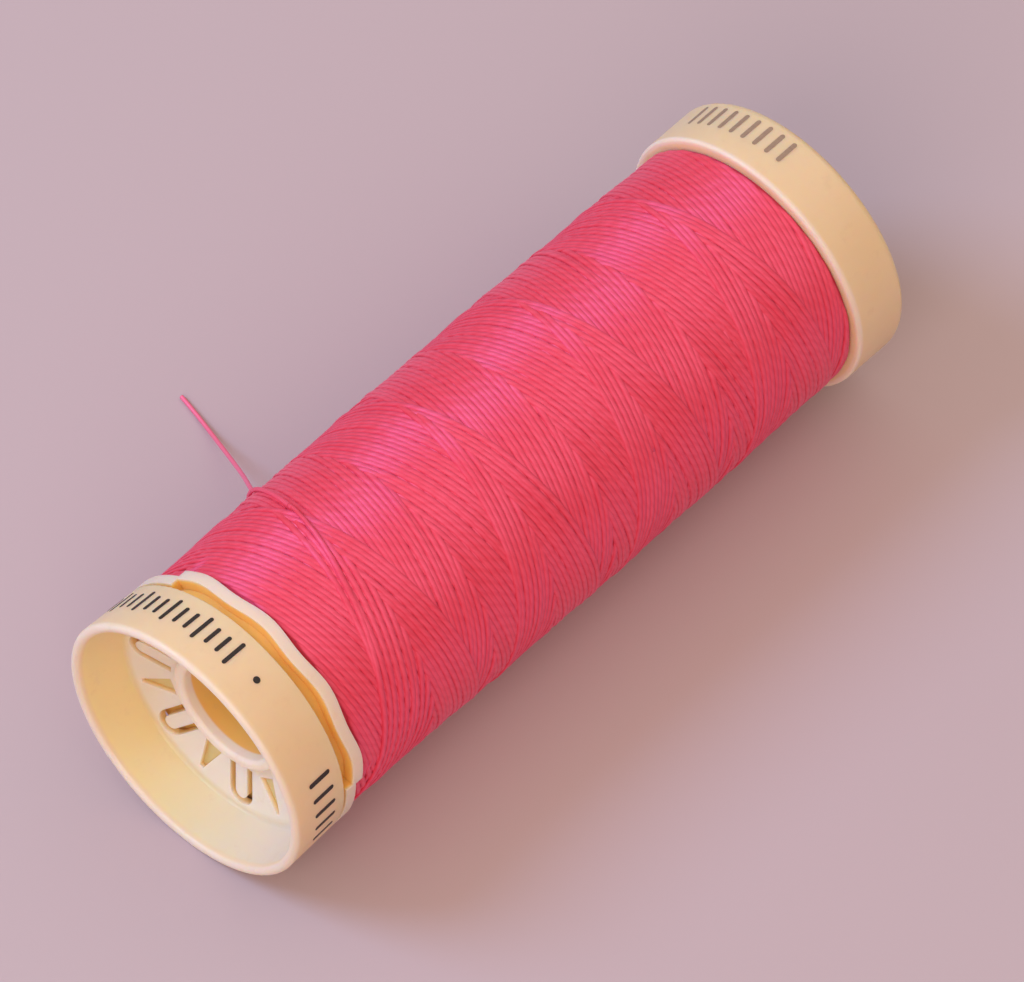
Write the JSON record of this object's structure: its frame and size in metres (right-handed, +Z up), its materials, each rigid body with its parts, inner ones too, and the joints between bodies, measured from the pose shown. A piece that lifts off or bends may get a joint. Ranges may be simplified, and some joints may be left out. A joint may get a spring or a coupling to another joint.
{
  "type": "thread spool",
  "caption": "Small plastic reel of sewing thread on its side, with a thread-lock cap, a wavy clamping flange, a through bore for a spool pin and a loose thread end.",
  "frame": {"origin": "on the surface under the reel, at the middle of the reel's length and width", "axes": "+X along the reel's axis from the lock cap to the fixed end, +Z up with the reel on its side"},
  "size_m": [0.058, 0.035, 0.02],
  "materials": {
    "reel_plastic": "smooth translucent ivory moulding with a soft sheen",
    "thread": "spun two-ply sewing thread, satin"
  },
  "bodies": {
    "reel": {"barrel": "reel_plastic", "thread_winding": "thread", "thread_tail": "thread"},
    "cap": {"lock_cap": "reel_plastic"}
  },
  "joints": [
    {"name": "lock_cap_slide", "type": "slide", "parent": "reel", "child": "cap", "axis": [-1, 0, 0], "range_m": [0, 0.0015]}
  ]
}
